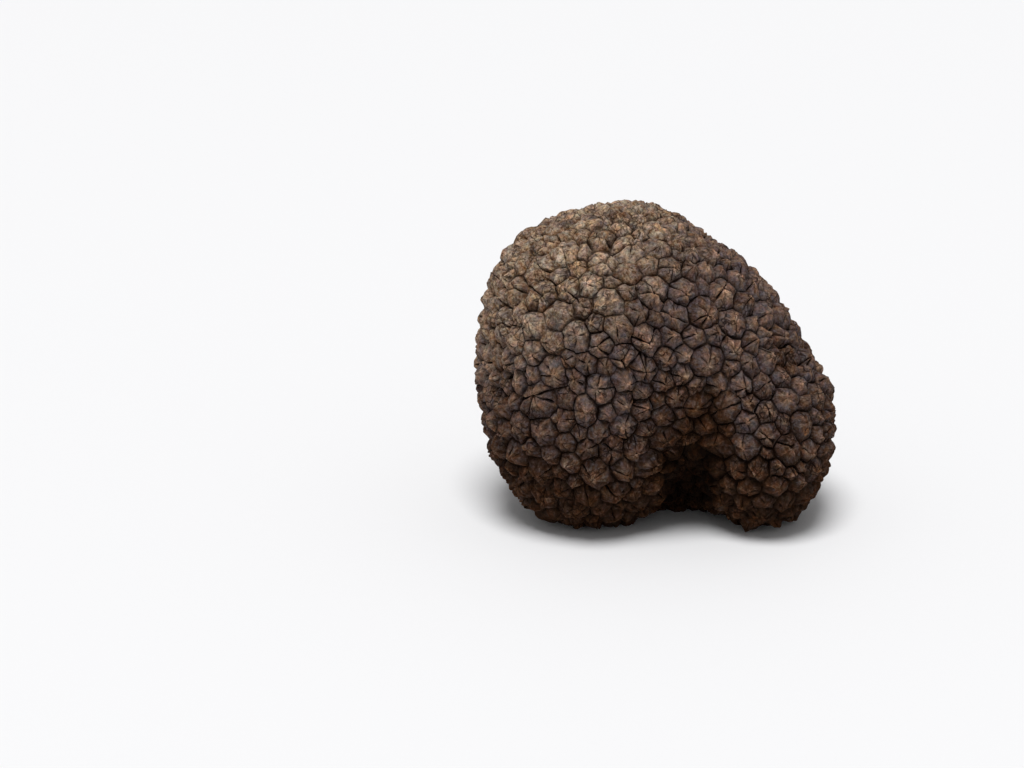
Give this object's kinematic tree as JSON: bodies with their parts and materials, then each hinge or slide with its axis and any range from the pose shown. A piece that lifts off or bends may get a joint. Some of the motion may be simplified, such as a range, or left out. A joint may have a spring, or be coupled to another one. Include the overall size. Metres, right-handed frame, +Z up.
{
  "type": "black truffle",
  "caption": "Whole summer truffle: a lobed, knobbly lump covered in low polygonal warts parted by dark furrows, with a deep fold in one side.",
  "frame": {"origin": "on the surface the truffle rests on, under the middle of its bounding box", "axes": "+Z up, +X along the longest extent towards the lower lobe, -Y towards the side with the deep fold"},
  "size_m": [0.074, 0.0574, 0.0642],
  "materials": {
    "rind": "matte, rough, dry warty skin, near black in the furrows and rubbed brown on the wart tips"
  },
  "bodies": {
    "root": {"truffle": "rind"}
  },
  "joints": []
}
